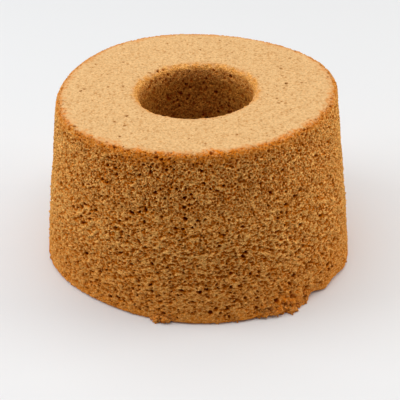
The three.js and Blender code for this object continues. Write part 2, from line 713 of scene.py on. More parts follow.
    def sample(self, chart: np.ndarray, angle: np.ndarray, along: np.ndarray) -> np.ndarray:
        """Reads a map of this relief between its cells.

        Args:
            chart: A map with a value for each cell.
            angle: Angles in radians.
            along: Ways along the outline.

        Returns:
            One value for each place; past the shown stretch it is the map's last one.
        """
        across = (angle / np.pi + 1.0) * 0.5 * self.sectors
        up = np.clip(along / self.pitch, 0.0, self.rows - 1 - CLOSE)
        column, row = np.floor(across).astype(int), np.floor(up).astype(int)
        right, above = across - column, up - row
        near, far = column % self.sectors, (column + 1) % self.sectors
        low = lerp(chart[row, near], chart[row, far], right)
        high = lerp(chart[row + 1, near], chart[row + 1, far], right)
        return lerp(low, high, above)


# Pieces of the cake that are turned round the axis


def places_of(mesh: bpy.types.Mesh) -> tuple[np.ndarray, np.ndarray]:
    """Reads where a mesh's points are.

    Args:
        mesh: A mesh whose points are marked with how far along the outline they are.

    Returns:
        The points, as rows of x, y and z, and how far along the outline each one is.
    """
    count = len(mesh.vertices)
    points = np.empty(count * 3, np.float32)
    mesh.vertices.foreach_get("co", points)
    along = np.empty(count, np.float32)
    mesh.attributes["along"].data.foreach_get("value", along)
    return points.reshape(-1, 3).astype(float), along.astype(float)


def write(mesh: bpy.types.Mesh, marks: dict[str, np.ndarray]) -> None:
    """Writes what the material reads at a mesh's points.

    Args:
        mesh: The mesh.
        marks: For the name of each mark, its value at each point.
    """
    for name, values in marks.items():
        layer = mesh.attributes.new(name, "FLOAT", "POINT")
        layer.data.foreach_set("value", values.astype(np.float32))


def shaped(bm: bmesh.types.BMesh, name: str) -> bpy.types.Mesh:
    """Turns a bmesh into a mesh.

    Args:
        bm: The bmesh, which is freed.
        name: The mesh's name.

    Returns:
        The mesh.
    """
    mesh = bpy.data.meshes.new(name)
    bm.to_mesh(mesh)
    bm.free()
    return mesh


def stood(mesh: bpy.types.Mesh) -> bpy.types.Object:
    """Stands a mesh in the scene.

    Args:
        mesh: The mesh.

    Returns:
        Its object, of the same name.
    """
    thing = bpy.data.objects.new(mesh.name, mesh)
    bpy.context.scene.collection.objects.link(thing)
    return thing


@dataclass
class Turned:
    """Cake turned round the axis from a section and then pitted by its relief, as closed pieces.

    Attributes:
        form: The cake's form.
        crumb: The material of all its pieces.
        name: The pieces' name.
        pitch: The distance between points on the stretch that shows.
        sectors: How many steps the whole turn takes, a multiple of arcs times cuts.
        arcs: How many pieces share the turn.
        most_faces: The most triangles that a finished piece has.
        seed: Seeds its bubbles.
        cuts: How many of those steps each coarse one is cut into.
        lap: How far the piece runs in under its neighbour.
        lap_top: How far inside the rim the two meet on top.
        lap_foot: How far inside the foot's edge they meet underneath.
        lap_sink: How deep the edge lies in the neighbour at the end of the lap.
        core: How deep the hidden side lies inside the cake.
        inward: 1 for a piece that laps inwards, -1 for one that laps outwards.
    """

    form: CakeForm
    crumb: bpy.types.Material
    name: str
    pitch: float
    sectors: int
    arcs: int
    most_faces: int
    seed: int

    cuts: int = 20
    lap: float = 2.0
    lap_top: float = 5.0
    lap_foot: float = 6.0
    lap_sink: float = 0.6
    core: float = 2.5
    inward: ClassVar[float]

    def section(self) -> Section:
        """Returns the outline. Each kind of piece has its own."""
        raise NotImplementedError

    def pit(self, relief: Relief) -> None:
        """Opens the bubbles. Each kind of piece has its own."""
        raise NotImplementedError

    def charts(self, turn: np.ndarray, way: np.ndarray, mean_way: np.ndarray) -> np.ndarray:
        """Returns the bake map's place of each corner. Each kind of piece has its own.

        Args:
            turn: Each corner's angle from the middle of the piece's arc, in radians.
            way: Its way along the outline.
            mean_way: The mean way of its face.
        """
        raise NotImplementedError

    def closed(self, line: list[Vector]) -> Section:
        """Closes a line through the cake, under the surface.

        Args:
            line: The stretch that shows, as radius and height.

        Returns:
            The outline, evenly spaced where it shows.
        """
        shown = evenly(line, self.pitch)
        start, end = shown[-1].copy(), shown[0].copy()
        for place in (start, end):
            place[1] += -self.core if place[1] > 0.5 * self.form.height else self.core
        return Section(shown, lerp(start, end, np.linspace(0.0, 1.0, 5)[:, None]))

    def sunk(self, radius: np.ndarray, z: np.ndarray) -> np.ndarray:
        """Works out how the edges sink in the lap: the top's is lowered and the underside's is raised.

        Args:
            radius: Distances from the axis on the round form.
            z: Heights on it.

        Returns:
            What is taken off each height.
        """
        form = self.form
        on_top = self.inward * (form.wall_radius(form.height) - self.lap_top - radius)
        underneath = self.inward * (form.wall_radius(0.0) - self.lap_foot - radius)
        past = np.where(z > 0.5 * form.height, np.maximum(on_top, 0.0), -np.maximum(underneath, 0.0))
        return self.lap_sink / self.lap * past

    def uneven(self, points: np.ndarray) -> np.ndarray:
        """Works out the soft unevenness of the whole cake.

        Args:
            points: Places in millimetres, as rows of x, y and z.

        Returns:
            How far each one stands out.
        """
        broad = Waves(seed=3, shortest=14.0, longest=40.0).at(points)
        close = Waves(seed=4, shortest=4.0, longest=11.0).at(points)
        lumpy = Waves(seed=5, shortest=1.6, longest=3.5, count=18).at(points)
        form, z = self.form, points[:, 2]
        radius = np.hypot(points[:, 0], points[:, 1])
        on_top = ease(form.height - 4.0, form.height - 0.8, z)
        # The tin kept the top flatter, and the underside is level.
        soft = (0.10 * broad + 0.12 * close + 0.04 * lumpy) * (1.0 - 0.65 * on_top) * ease(0.0, 1.5, z)
        # The torn stretch of the foot is ragged, and hangs in lumps over dark gaps.
        ragged = Waves(seed=6, shortest=1.8, longest=6.0, count=18).at(points)
        at_tear = form.torn(points) * ease(10.0, 2.0, z) * (1.7 * ragged - 0.3)
        # Little bites are gone from the hole's upper edge.
        edge = form.hole_radius(form.height)
        bites = Waves(seed=9, shortest=1.2, longest=4.0, count=18).at(points)
        at_edge = 0.3 * bites * hump(z - form.height + 0.6, 2.0) * hump(radius - edge, 2.5)
        return soft + at_tear + at_edge

    def spun(self, section: Section, start: float, name: str) -> bpy.types.Mesh:
        """Turns the section into a closed ring, or into an arc closed at both ends.

        Args:
            section: The outline.
            start: The angle that the turn starts at, in radians.
            name: The mesh's name.

        Returns:
            A mesh in millimetres, whose points are marked with how far along the outline they are.
        """
        bm = bmesh.new()
        layer = bm.verts.layers.float.new("along")
        verts = []
        for (radius, z), along in zip(section.points, section.along):
            vert = bm.verts.new((radius * math.cos(start), radius * math.sin(start), z))
            vert[layer] = along
            verts.append(vert)
        edges = [bm.edges.new((a, b)) for a, b in zip(verts, verts[1:] + verts[:1])]
        bmesh.ops.spin(
            bm, geom=verts + edges, cent=(0, 0, 0), axis=(0, 0, 1), angle=2.0 * math.pi / self.arcs,
            steps=self.sectors // (self.arcs * self.cuts), use_merge=self.arcs == 1, use_duplicate=False,
        )
        rings = [e for e in bm.edges if e.verts[0][layer] == e.verts[1][layer]]
        bmesh.ops.subdivide_edges(bm, edges=rings, cuts=self.cuts - 1)
        bmesh.ops.holes_fill(bm, edges=[e for e in bm.edges if e.is_boundary], sides=0)
        bmesh.ops.recalc_face_normals(bm, faces=bm.faces)
        return shaped(bm, name)

    def build(self) -> list[bpy.types.Object]:
        """Makes the finished pieces.

        Returns:
            The pieces, in metres, with their places in their meshes.
        """
        section = self.section()
        relief = Relief(section, self.sectors, self.seed)
        self.pit(relief)
        return [self.piece(section, relief, arc) for arc in range(self.arcs)]

    def piece(self, section: Section, relief: Relief, arc: int) -> bpy.types.Object:
        """Makes one piece.

        Args:
            section: The outline.
            relief: The hollows of the whole turn.
            arc: Which part of the turn it is.

        Returns:
            The piece.
        """
        span = 2.0 * math.pi / self.arcs
        start = arc * span - math.pi
        name = self.name if self.arcs == 1 else f"{self.name}_{arc + 1}"
        mesh = self.spun(section, start, name)
        points, along = places_of(mesh)
        angle = np.arctan2(points[:, 1], points[:, 0])
        radius, z = section.at(along)
        points = np.column_stack((radius * np.cos(angle), radius * np.sin(angle), z))

        shows = along <= section.length + CLOSE
        out = self.uneven(points) - relief.sample(relief.depth, angle, along)
        out = np.where(shows, out, 0.0)
        index = np.searchsorted(section.along, along - CLOSE).clip(0, len(section.along) - 1)
        radius = radius + section.out[index, 0] * out
        z = z + section.out[index, 1] * out
        z = np.maximum(z - self.sunk(radius, z) * shows, 0.0)
        placed = self.form.soften(radius, angle, z)
        placed[:, :2] -= self.form.centre()
        mesh.vertices.foreach_set("co", placed.ravel().astype(np.float32))
        mesh.update()

        piece = stood(mesh)
        self.thin(piece)
        self.dress(piece, relief, start + span / 2)
        piece.data.transform(Matrix.Scale(MM, 4))
        piece.data.update()
        return piece

    def thin(self, piece: bpy.types.Object) -> None:
        """Merges faces where the surface is flat, if there are too many, and shades it smooth.

        Args:
            piece: The piece.
        """
        piece.data.calc_loop_triangles()
        ratio = self.most_faces / len(piece.data.loop_triangles)
        if ratio < 1.0:
            modifier = piece.modifiers.new("Thin", "DECIMATE")
            modifier.ratio = ratio
            modifier.use_collapse_triangulate = True
            depsgraph = bpy.context.evaluated_depsgraph_get()
            mesh = bpy.data.meshes.new_from_object(
                piece.evaluated_get(depsgraph), preserve_all_data_layers=True, depsgraph=depsgraph
            )
            piece.modifiers.clear()
            whole, piece.data = piece.data, mesh
            bpy.data.meshes.remove(whole)
            mesh.name = piece.name
        # The flat ends of an arc, inside the cake, are the only faces with more than four sides.
        sides = np.empty(len(piece.data.polygons), np.int32)
        piece.data.polygons.foreach_get("loop_total", sides)
        piece.data.polygons.foreach_set("use_smooth", sides <= 4)

    def dress(self, piece: bpy.types.Object, relief: Relief, middle: float) -> None:
        """Gives a piece its material and what that and the bake read: marks at its points, and a map.

        Args:
            piece: The piece, in millimetres.
            relief: Its relief.
            middle: The angle of the middle of its arc, in radians.
        """
        mesh = piece.data
        mesh.materials.append(self.crumb)
        points, along = places_of(mesh)
        centre = self.form.centre()
        angle = np.arctan2(points[:, 1] + centre[1], points[:, 0] + centre[0])
        radius, z = relief.section.at(along)
        write(mesh, {
            "hollow": relief.sample(relief.depth, angle, along),
            "skin": self.form.skinned(radius, z, points),
            "browned": self.form.browned(radius, z, points),
            "tube": self.form.hole_shade_share(radius, z),
        })
        self.unroll(mesh, angle - middle, along, float(relief.section.along[-1]))

    def unroll(self, mesh: bpy.types.Mesh, turn: np.ndarray, along: np.ndarray, whole: float) -> None:
        """Adds the map that the bake uses, with the surface rolled out flat.

        Args:
            mesh: The piece's mesh.
            turn: Each point's angle from the middle of the arc, in radians.
            along: Each point's way along the outline.
            whole: How long the outline is.
        """
        corners = np.empty(len(mesh.loops), np.int32)
        mesh.loops.foreach_get("vertex_index", corners)
        first = np.empty(len(mesh.polygons), np.int32)
        mesh.polygons.foreach_get("loop_start", first)
        sides = np.diff(np.append(first, len(corners)))
        corner_turn, way = turn[corners], along[corners]
        begin = np.repeat(around(corner_turn[first]), sides)
        corner_turn = begin + around(corner_turn - begin)
        # A face that closes the outline runs on past its end.
        closes = np.maximum.reduceat(way, first) - np.minimum.reduceat(way, first) > 0.5 * whole
        way = np.where(np.repeat(closes, sides) & (way < 0.5 * whole), whole, way)
        mean_way = np.repeat(np.add.reduceat(way, first) / sides, sides)
        uv = self.charts(corner_turn, way, mean_way)
        # The flat ends of an arc lie in the strip under the top of the map.
        ends = np.repeat(sides > 4, sides)
        if ends.any():
            points = places_of(mesh)[0][corners[ends]]
            reach = np.hypot(points[:, 0], points[:, 1]) / self.form.tin_diameter
            beside = np.where(corner_turn[ends] > 0.0, 0.5, 0.0)
            uv[ends] = np.column_stack((beside + 0.9 * reach, 0.95 + 0.045 * points[:, 2] / self.form.height))
        layer = mesh.uv_layers.new(name="OFBake")
        layer.uv.foreach_set("vector", uv.reshape(-1).astype(np.float32))


@dataclass
class CrumbWall(Turned):
    """The outer wall with its rim and foot: torn crumb, full of bubbles that lie drawn out lower down."""

    inward: ClassVar[float] = 1.0

    def section(self) -> Section:
        """Runs from under the foot, up the wall, over the rim and in on the top.

        Returns:
            The outline.
        """
        form, step = self.form, self.pitch / 2
        rim = Vector((form.wall_radius(form.height), form.height))
        foot = Vector((form.wall_radius(0.0), 0.0))
        # The straight stretches stop clear of the arcs at the foot and the rim.
        foot_clear, wall_clear, top_clear = 2.0, 2.4, 3.0
        up = Vector((form.wall_radius(foot_clear) - form.wall_radius(0.0), foot_clear))
        over = Vector((form.wall_radius(form.height) - form.wall_radius(form.height - top_clear), top_clear))
        line = [Vector((foot.x - self.lap_foot - self.lap, 0.0))]
        line += rounded(foot, Vector((1.0, 0.0)), up, form.foot_round, step)
        line += [
            Vector((form.wall_radius(z), z)) for z in np.arange(foot_clear, form.height - wall_clear, step)
        ]
        line += rounded(rim, over, Vector((-1.0, 0.0)), form.rim_round, step)
        line += [
            Vector((radius, form.top_height(radius)))
            for radius in np.arange(rim.x - top_clear, rim.x - self.lap_top - self.lap, -step)
        ]
        return self.closed(line)

    def pit(self, relief: Relief) -> None:
        """Packs the wall with bubbles, from the largest to the smallest, over close fine foam.

        Args:
            relief: The relief that they are opened in.
        """
        form = self.form
        shape = relief.depth.shape
        points = relief.cells()
        z = points[:, 2].reshape(shape)
        radius = np.hypot(points[:, 0], points[:, 1]).reshape(shape)
        coarse = Waves(seed=21, shortest=7.0, longest=24.0).at(points).reshape(shape)
        close = Waves(seed=22, shortest=5.0, longest=16.0).at(points).reshape(shape)
        rim = form.wall_radius(form.height)
        on_wall = ease(-1.0, 5.0, z + 1.5 * close) * ease(rim - 3.2, rim - 1.2, radius)
        skin = ease(rim - 1.0, rim - 2.6, radius) * ease(form.height - 2.0, form.height - 0.5, z)
        size = np.clip(1.0 + 0.10 * close, 0.8, 1.25) * lerp(0.72, 1.0, on_wall)
        # The cake's weight settled the lower bubbles, and the largest ones rose.
        lying = ease(50.0, 30.0, z)
        risen = on_wall * lerp(0.7, 1.3, ease(24.0, 44.0, z))
        sizes = (
            (Bubbles((0.75, 1.10), 3.0, 2.6, 1.3), risen * ease(-0.2, 1.0, coarse)),
            (Bubbles((0.55, 0.80), 9.0, 3.2, 1.2), risen * ease(-1.0, 1.1, coarse)),
            (Bubbles((0.38, 0.55), 22.0, 3.0, 1.0, 0.2), np.maximum(on_wall, 0.1)),
            (Bubbles((0.46, 0.75), 20.0, 3.2, 1.1, 0.2), hump(z - form.height + 2.4, 1.9)),
            (Bubbles((0.40, 0.75), 20.0, 0.5, 1.1, 0.1), skin),
        )
        counts = [relief.blow(bubbles, chance, size, 0.6 * lying) for bubbles, chance in sizes]
        log.info("wall bubbles, size by size: %s", counts)

        fine = Foam(cell=1.0, shape=Shape.ROUND, wall=0.5, depth=1.1, closed=0.55, seed=41).hollows(points)
        loose = Foam(cell=1.3, shape=Shape.LYING, wall=0.5, depth=1.05, closed=0.5, seed=42).hollows(points)
        upright = fine.reshape(shape) + 0.06 * relief.noise(1.0, 4.0, Shape.ROUND, seed=43) - 0.1
        drawn = loose.reshape(shape) + 0.18 * relief.noise(1.1, 5.0, Shape.LYING, seed=43) - 0.1
        foam = lerp(upright, drawn, lying) * (1.0 - skin) * lerp(0.65, 1.0, ease(2.0, 20.0, z + 2.0 * close))
        relief.depth = lerp(foam, np.maximum(relief.depth, foam), ease(0.0, 0.35, relief.depth))
        # It is closer at the foot, under the lap and on the rim's corner.
        corner = ease(form.height - 4.6, form.height - 1.6, z) * (1.0 - skin)
        relief.depth *= lerp(0.2, 1.0, np.maximum(on_wall, skin)) * lerp(1.0, 0.6, corner)

    def charts(self, turn: np.ndarray, way: np.ndarray, mean_way: np.ndarray) -> np.ndarray:
        """Lays an arc out as one strip, with its hidden side in a narrow strip above.

        Args:
            turn: Each corner's angle from the middle of the piece's arc, in radians.
            way: Its way along the outline.
            mean_way: The mean way of its face.

        Returns:
            Its place on the map.
        """
        section = self.section()
        length, whole = section.length, float(section.along[-1])
        # The strips' lower edges and heights, as shares of the map.
        shown_from, shown_high, hidden_from, hidden_high = 0.01, 0.89, 0.91, 0.03
        across = 0.5 + 0.96 * turn * self.arcs / (2.0 * np.pi)
        shown = shown_from + shown_high * way / length
        hidden = hidden_from + hidden_high * (way - length) / (whole - length)
        return np.column_stack((across, np.where(mean_way > length, hidden, shown)))


@dataclass
class Heart(Turned):
    """The rest of the ring: the pale skin on top, the hole that the tin's tube left, and the underside."""

    inward: ClassVar[float] = -1.0

    def section(self) -> Section:
        """Runs in over the top, down the hole and out along the underside.

        Returns:
            The outline.
        """
        form, step = self.form, self.pitch / 2
        rim, foot = form.wall_radius(form.height), form.wall_radius(0.0)
        edge = Vector((form.hole_radius(form.height), form.top_height(form.hole_radius(form.height))))
        toe = Vector((form.hole_radius(0.0), 0.0))
        # The straight stretch stops clear of the arc at the hole's edge.
        clear = 4.0
        line = [
            Vector((radius, form.top_height(radius)))
            for radius in np.arange(rim - self.lap_top + self.lap, edge.x + clear, -step)
        ]
        line += rounded(edge, Vector((-1.0, -0.02)), toe - edge, form.hole_round, step)
        line += rounded(toe, toe - edge, Vector((1.0, 0.0)), form.foot_round, step)
        line.append(Vector((foot - self.lap_foot + self.lap, 0.0)))
        return self.closed(line)

    def pit(self, relief: Relief) -> None:
        """Pricks the skin with fine pits and opens rough crumb down the hole.

        Args:
            relief: The relief that they are opened in.
        """
        height = self.form.height
        shape = relief.depth.shape
        points = relief.cells()
        z = points[:, 2].reshape(shape)
        coarse = Waves(seed=31, shortest=7.0, longest=24.0).at(points).reshape(shape)
        on_top = ease(height - 1.2, height - 0.2, z)
        in_hole = ease(height - 0.6, height - 4.0, z) * ease(0.8, 4.0, z)
        under = ease(0.8, 0.2, z)
        sizes = (
            (Bubbles((0.55, 0.95), 16.0, 1.1, 1.1), in_hole * ease(-0.6, 1.0, coarse)),
            (Bubbles((0.48, 0.78), 3.0, 2.0, 1.2), on_top * ease(-0.4, 1.2, coarse)),
            (Bubbles((0.34, 0.50), 40.0, 1.0, 1.1), np.maximum(in_hole, 0.25 * under)),
            (Bubbles((0.40, 0.75), 26.0, 0.5, 1.1, 0.1), on_top),
            (Bubbles((0.26, 0.40), 16.0, 0.9, 1.1), on_top),
        )
        counts = [relief.blow(bubbles, chance) for bubbles, chance in sizes]
        log.info("skin and hole bubbles, size by size: %s", counts)
        foam = Foam(cell=2.0, shape=Shape.ROUND, wall=0.6, depth=0.45, closed=0.3, seed=44).hollows(points)
        relief.depth = np.maximum(relief.depth, foam.reshape(shape) * np.maximum(in_hole, 0.3 * under))

    def charts(self, turn: np.ndarray, way: np.ndarray, mean_way: np.ndarray) -> np.ndarray:
        """Lays out the top and the underside as rings, and the hole and the hidden side as strips.

        Args:
            turn: Each corner's angle from the middle of the piece's arc, in radians.
            way: Its way along the outline.
            mean_way: The mean way of its face.

        Returns:
            Its place on the map.
        """
        section = self.section()
        radius, z = section.points.T
        edge = section.along[np.argmax(z < self.form.height - 1.4)]
        toe = section.along[np.argmax(z < 0.5)]
        length, whole = section.length, float(section.along[-1])
        reach = np.interp(way, section.along, radius)
        ring = np.stack((reach * np.cos(turn), reach * np.sin(turn)), axis=-1)
        across = turn / (2.0 * np.pi) + 0.5
        # The map is a square sheet this many millimetres wide, with the hidden parts drawn smaller.
        sheet = 178.0
        top = ring + 54.0
        hole = np.stack((2.0 + 134.0 * across, 110.0 + way - edge), axis=-1)
        underside = 0.58 * ring + np.array([144.0, 36.0])
        hidden = np.stack((140.0 + 34.0 * across, 110.0 + 60.0 * (way - length) / (whole - length)), axis=-1)
        chart = np.searchsorted(np.array([edge, toe, length]), mean_way)[:, None]
        return np.choose(chart, (top, hole, underside, hidden)) / sheet


@dataclass
class Crumbs:
    """Crumbs that cling to the cake where its foot tore, and a few smaller ones round the foot.

    Attributes:
        wall: The wall that they cling to.
        name: The piece's name.
        seed: Seeds their places and shapes.
        torn: How many cling to the two worst tears.
        heaped: How many of these are heaped beside the lesser one.
        elsewhere: How many cling elsewhere.
        torn_sizes: The smallest and largest radius of those at the tears.
        other_sizes: The smallest and largest radius of the others.
        torn_reach: How far up the wall those at the tears go.
        other_reach: How far up the wall the others go.
        heap_reach: How far up the heap goes, as a share of torn_reach.
        heap_aside: How far this side of the lesser tear the heap is, in degrees.
        heap_out: How much further out the heap's crumbs are than the others.
        sunk: How deep a crumb's middle lies in the wall.
        stretch: The least and the most that a crumb is drawn out, in each of its three directions.
        rough: How rough a crumb is, as a share of its radius.
        fineness: How often a crumb's 20 faces are cut in four, plus one.
    """

    wall: CrumbWall
    name: str
    seed: int
    torn: int = 84
    heaped: int = 24
    elsewhere: int = 60
    torn_sizes: tuple[float, float] = (0.35, 0.9)
    other_sizes: tuple[float, float] = (0.25, 0.5)
    torn_reach: float = 3.5
    other_reach: float = 5.0
    heap_reach: float = 0.4
    heap_aside: float = 2.5
    heap_out: float = 1.1
    sunk: float = 0.4
    stretch: tuple[float, float] = (0.55, 1.4)
    rough: float = 0.6
    fineness: int = 3

    def places(self, random: np.random.Generator) -> tuple[np.ndarray, np.ndarray]:
        """Scatters the crumbs, most of them low down.

        Args:
            random: Draws their places and sizes.

        Returns:
            Their middles, as rows of x, y and z, and their radii.
        """
        most_low = 1.6
        heap = slice(self.torn - self.heaped, self.torn)
        worst, lesser = self.wall.form.tears[0], self.wall.form.tears[3]
        at_tear = random.uniform(-1.0, 1.0, self.torn) * worst.half_width + worst.at
        aside = lesser.at - self.heap_aside
        at_tear[heap] = random.uniform(-1.0, 1.0, self.heaped) * lesser.half_width + aside
        angle = np.radians(np.append(at_tear, random.uniform(-180.0, 180.0, self.elsewhere)))
        z = np.append(
            random.uniform(0.0, 1.0, self.torn) ** most_low * self.torn_reach,
            random.uniform(0.0, 1.0, self.elsewhere) ** most_low * self.other_reach,
        )
        z[heap] *= self.heap_reach
        size = np.append(
            random.uniform(*self.torn_sizes, self.torn), random.uniform(*self.other_sizes, self.elsewhere)
        )
        out = np.full_like(z, -self.sunk)
        out[heap] += self.heap_out
        return self.surface(angle, z + 0.6 * size, out), size

    def build(self) -> list[bpy.types.Object]:
        """Makes the crumbs as one piece.

        Returns:
            The piece alone, in metres, with its places in its mesh.
        """
        random = np.random.default_rng(self.seed)
        bm = bmesh.new()
        for middle, radius in zip(*self.places(random)):
            made = bmesh.ops.create_icosphere(bm, subdivisions=self.fineness, radius=1.0)["verts"]
            stretch = random.uniform(*self.stretch, 3) * radius
            points = np.array([vert.co for vert in made])
            ragged = Waves(int(random.integers(1 << 16)), shortest=0.6, longest=2.4, count=16).at(points)
            points *= (1.0 + self.rough * ragged)[:, None] * stretch
            for vert, point in zip(made, points + middle):
                vert.co = (point[0], point[1], max(point[2], 0.0))
        bmesh.ops.recalc_face_normals(bm, faces=bm.faces)
        mesh = shaped(bm, self.name)
        mesh.shade_smooth()
        self.dress(mesh)
        mesh.transform(Matrix.Scale(MM, 4))
        return [stood(mesh)]

    def surface(self, angle: np.ndarray, z: np.ndarray, out: np.ndarray) -> np.ndarray:
        """Finds places on the wall, or so far out from it.

        Args:
            angle: Their angles in radians.
            z: Their heights.
            out: How far outside the wall's surface they are.

        Returns:
            Rows of x, y and z.
        """
        form = self.wall.form
        radius = form.wall_radius(z)
        round_form = np.column_stack((radius * np.cos(angle), radius * np.sin(angle), z))
        points = form.soften(radius + self.wall.uneven(round_form) + out, angle, z)
        points[:, :2] -= form.centre()
        return points

    def dress(self, mesh: bpy.types.Mesh) -> None:
        """Gives the crumbs the wall's material and what that reads: shallow hollows, browned all over.

        Args:
            mesh: The crumbs' mesh, in millimetres.
        """
        mesh.materials.append(self.wall.crumb)
        points = np.empty(len(mesh.vertices) * 3, np.float32)
        mesh.vertices.foreach_get("co", points)
        foam = Foam(cell=0.9, shape=Shape.ROUND, wall=0.6, depth=0.6, closed=0.3, seed=self.seed)
        hollow = foam.hollows(points.reshape(-1, 3).astype(float))
        none = np.zeros_like(hollow)
        write(mesh, {"hollow": hollow, "skin": none, "browned": none + 0.7, "tube": none})


# Materials


def add(
    tree: bpy.types.NodeTree, kind: str, inputs: dict[int | str, object], output: int | str = 0,
    **settings: object,
) -> bpy.types.NodeSocket | None:
    """Adds a node with its settings and links.

    Args:
        tree: The node tree.
        kind: The node's type, without the words that all of them start with.
        inputs: For a socket's name or number, a value for it or the socket that it is linked from.
        output: The name or number of the output that is wanted.
        settings: The node's own properties.

    Returns:
        That output, or None from a node that has none.
    """
    node = tree.nodes.new(f"ShaderNode{kind}")
    for name, value in settings.items():
        setattr(node, name, value)
    for name, value in inputs.items():
        if isinstance(value, bpy.types.NodeSocket):
            tree.links.new(value, node.inputs[name])
        else:
            node.inputs[name].default_value = value
    return node.outputs[output] if node.outputs else None


@dataclass(frozen=True)
class Patterns:
    """What the chiffon's colours are mixed from: sockets with a value for each place.

    Attributes:
        hollow: How deep the place lies in a bubble, in millimetres.
        skin: How far it is skin.
        browned: How far it is browned.
        tube: How far it lay against the tin's tube, more deeper down the hole: the painted shade's share.
        grain: The finest grain, round 0.5.
        pores: Fine pores, round 0.5.
        patches: Broad patches, round 0.5.
        strand: 1 on the strands between the finest bubbles, 0 in these.
        prick: How far it is in one of the skin's specks.
    """

    hollow: bpy.types.NodeSocket
    skin: bpy.types.NodeSocket
    browned: bpy.types.NodeSocket
    tube: bpy.types.NodeSocket
    grain: bpy.types.NodeSocket
    pores: bpy.types.NodeSocket
    patches: bpy.types.NodeSocket
    strand: bpy.types.NodeSocket
    prick: bpy.types.NodeSocket


